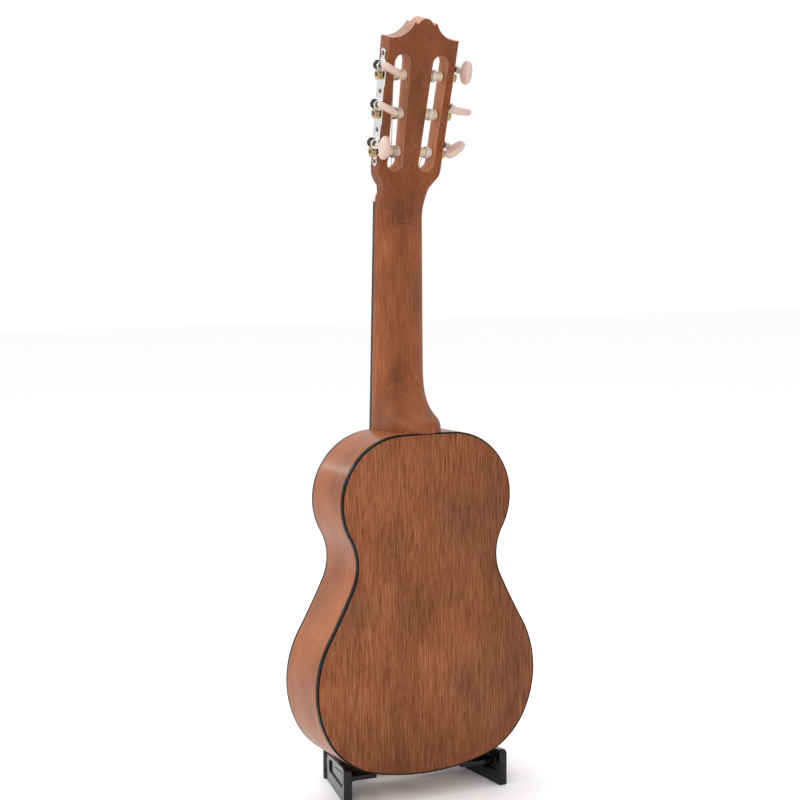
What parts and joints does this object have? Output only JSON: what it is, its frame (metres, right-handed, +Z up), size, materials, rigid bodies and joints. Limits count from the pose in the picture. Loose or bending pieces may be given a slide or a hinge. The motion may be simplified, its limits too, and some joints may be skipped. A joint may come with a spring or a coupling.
{
  "type": "guitar on stand",
  "caption": "Small nylon-string guitar with a slotted headstock and open tuning machines, standing upright in a low folding plastic stand.",
  "frame": {"origin": "on the floor, under the middle of the whole object's box", "axes": "+Z up along the guitar, -Y out of the guitar's back, which is the stand's open front, +X to the right seen from the back"},
  "size_m": [0.2284, 0.2089, 0.718],
  "materials": {
    "back_wood": "satin",
    "side_wood": "satin",
    "spruce": "satin",
    "block_wood": "raw",
    "black_binding": "gloss",
    "neck_wood": "satin",
    "dark_wood": "satin",
    "fret_metal": "polished",
    "bone_plastic": "satin",
    "rosette_inlay": "satin",
    "plain_nylon": "gloss",
    "wound_nylon": "wound",
    "chrome": "polished",
    "button_plastic": "satin",
    "roller_plastic": "satin",
    "gear_brass": "machined",
    "stand_plastic": "gloss moulded",
    "pin_steel": "satin",
    "pad_foam": "matt"
  },
  "bodies": {
    "stand": {"stand_frame": "stand_plastic", "arm_hinge_pins": "pin_steel", "leg_hinge_pin": "pin_steel", "frame_pads": "pad_foam"},
    "guitar": {"back_plate": "back_wood", "soundboard": "spruce", "rosette": "rosette_inlay", "right_side": "side_wood", "left_side": "side_wood", "back_binding": "black_binding", "top_binding": "black_binding", "tail_block": "block_wood", "neck_block": "block_wood", "back_linings": "back_wood", "top_linings": "spruce", "back_braces": "back_wood", "top_braces": "spruce", "bridge_plate": "block_wood", "neck": "neck_wood", "headstock": "neck_wood", "fingerboard": "dark_wood", "frets": "fret_metal", "nut": "bone_plastic", "bridge": "dark_wood", "saddle": "bone_plastic", "wound_strings": "wound_nylon", "plain_strings": "plain_nylon", "left_tuner_plate": "chrome", "right_tuner_plate": "chrome", "tuner_screws": "chrome"},
    "left_arm": {"left_arm": "stand_plastic", "left_arm_pad": "pad_foam"},
    "right_arm": {"right_arm": "stand_plastic", "right_arm_pad": "pad_foam"},
    "rear_leg": {"rear_leg": "stand_plastic", "leg_foot": "pad_foam"},
    "worm_1": {"worm_shaft_1": "chrome", "button_1": "button_plastic"},
    "roller_1": {"roller_1": "roller_plastic", "gear_1": "gear_brass"},
    "worm_2": {"worm_shaft_2": "chrome", "button_2": "button_plastic"},
    "roller_2": {"roller_2": "roller_plastic", "gear_2": "gear_brass"},
    "worm_3": {"worm_shaft_3": "chrome", "button_3": "button_plastic"},
    "roller_3": {"roller_3": "roller_plastic", "gear_3": "gear_brass"},
    "worm_4": {"worm_shaft_4": "chrome", "button_4": "button_plastic"},
    "roller_4": {"roller_4": "roller_plastic", "gear_4": "gear_brass"},
    "worm_5": {"worm_shaft_5": "chrome", "button_5": "button_plastic"},
    "roller_5": {"roller_5": "roller_plastic", "gear_5": "gear_brass"},
    "worm_6": {"worm_shaft_6": "chrome", "button_6": "button_plastic"},
    "roller_6": {"roller_6": "roller_plastic", "gear_6": "gear_brass"}
  },
  "joints": [
    {"name": "guitar_lift", "type": "slide", "parent": "stand", "child": "guitar", "axis": [0, -0.0227, 0.9997], "range_m": [0, 0.25]},
    {"name": "left_arm_fold", "type": "hinge", "parent": "stand", "child": "left_arm", "pos_m": [-0.05392, 0.01022, 0.0175], "axis": [0, 0, -1], "range_deg": [0, 80]},
    {"name": "right_arm_fold", "type": "hinge", "parent": "stand", "child": "right_arm", "pos_m": [0.08007, -0.00623, 0.0175], "axis": [0, 0, 1], "range_deg": [0, 80]},
    {"name": "rear_leg_fold", "type": "hinge", "parent": "stand", "child": "rear_leg", "pos_m": [0.01466, 0.0149, 0.15], "axis": [0.9925, -0.1219, 0], "range_deg": [-28, 0]},
    {"name": "button_turn_1", "type": "hinge", "parent": "guitar", "child": "worm_1", "pos_m": [-0.03846, -0.0741, 0.67293], "axis": [0, -0.9701, -0.2426], "continuous": true},
    {"name": "roller_turn_1", "type": "hinge", "parent": "guitar", "child": "roller_1", "pos_m": [-0.03823, -0.07216, 0.66517], "axis": [-0.9996, 0.0069, -0.0276], "continuous": true},
    {"name": "button_turn_2", "type": "hinge", "parent": "guitar", "child": "worm_2", "pos_m": [-0.03746, -0.0656, 0.63898], "axis": [0, -0.9701, -0.2426], "continuous": true},
    {"name": "roller_turn_2", "type": "hinge", "parent": "guitar", "child": "roller_2", "pos_m": [-0.03723, -0.06366, 0.63122], "axis": [-0.9996, 0.0069, -0.0276], "continuous": true},
    {"name": "button_turn_3", "type": "hinge", "parent": "guitar", "child": "worm_3", "pos_m": [-0.03647, -0.05711, 0.60502], "axis": [0, -0.9701, -0.2426], "continuous": true},
    {"name": "roller_turn_3", "type": "hinge", "parent": "guitar", "child": "roller_3", "pos_m": [-0.03624, -0.05517, 0.59726], "axis": [-0.9996, 0.0069, -0.0276], "continuous": true},
    {"name": "button_turn_4", "type": "hinge", "parent": "guitar", "child": "worm_4", "pos_m": [0.03846, -0.0741, 0.67293], "axis": [0, -0.9701, -0.2426], "continuous": true},
    {"name": "roller_turn_4", "type": "hinge", "parent": "guitar", "child": "roller_4", "pos_m": [0.03823, -0.07216, 0.66517], "axis": [0.9996, 0.0069, -0.0276], "continuous": true},
    {"name": "button_turn_5", "type": "hinge", "parent": "guitar", "child": "worm_5", "pos_m": [0.03746, -0.0656, 0.63898], "axis": [0, -0.9701, -0.2426], "continuous": true},
    {"name": "roller_turn_5", "type": "hinge", "parent": "guitar", "child": "roller_5", "pos_m": [0.03723, -0.06366, 0.63122], "axis": [0.9996, 0.0069, -0.0276], "continuous": true},
    {"name": "button_turn_6", "type": "hinge", "parent": "guitar", "child": "worm_6", "pos_m": [0.03647, -0.05711, 0.60502], "axis": [0, -0.9701, -0.2426], "continuous": true},
    {"name": "roller_turn_6", "type": "hinge", "parent": "guitar", "child": "roller_6", "pos_m": [0.03624, -0.05517, 0.59726], "axis": [0.9996, 0.0069, -0.0276], "continuous": true}
  ],
  "couplings": [
    {"joint": "roller_turn_1", "follows": "button_turn_1", "ratio": 0.071429},
    {"joint": "roller_turn_2", "follows": "button_turn_2", "ratio": 0.071429},
    {"joint": "roller_turn_3", "follows": "button_turn_3", "ratio": 0.071429},
    {"joint": "roller_turn_4", "follows": "button_turn_4", "ratio": 0.071429},
    {"joint": "roller_turn_5", "follows": "button_turn_5", "ratio": 0.071429},
    {"joint": "roller_turn_6", "follows": "button_turn_6", "ratio": 0.071429}
  ]
}
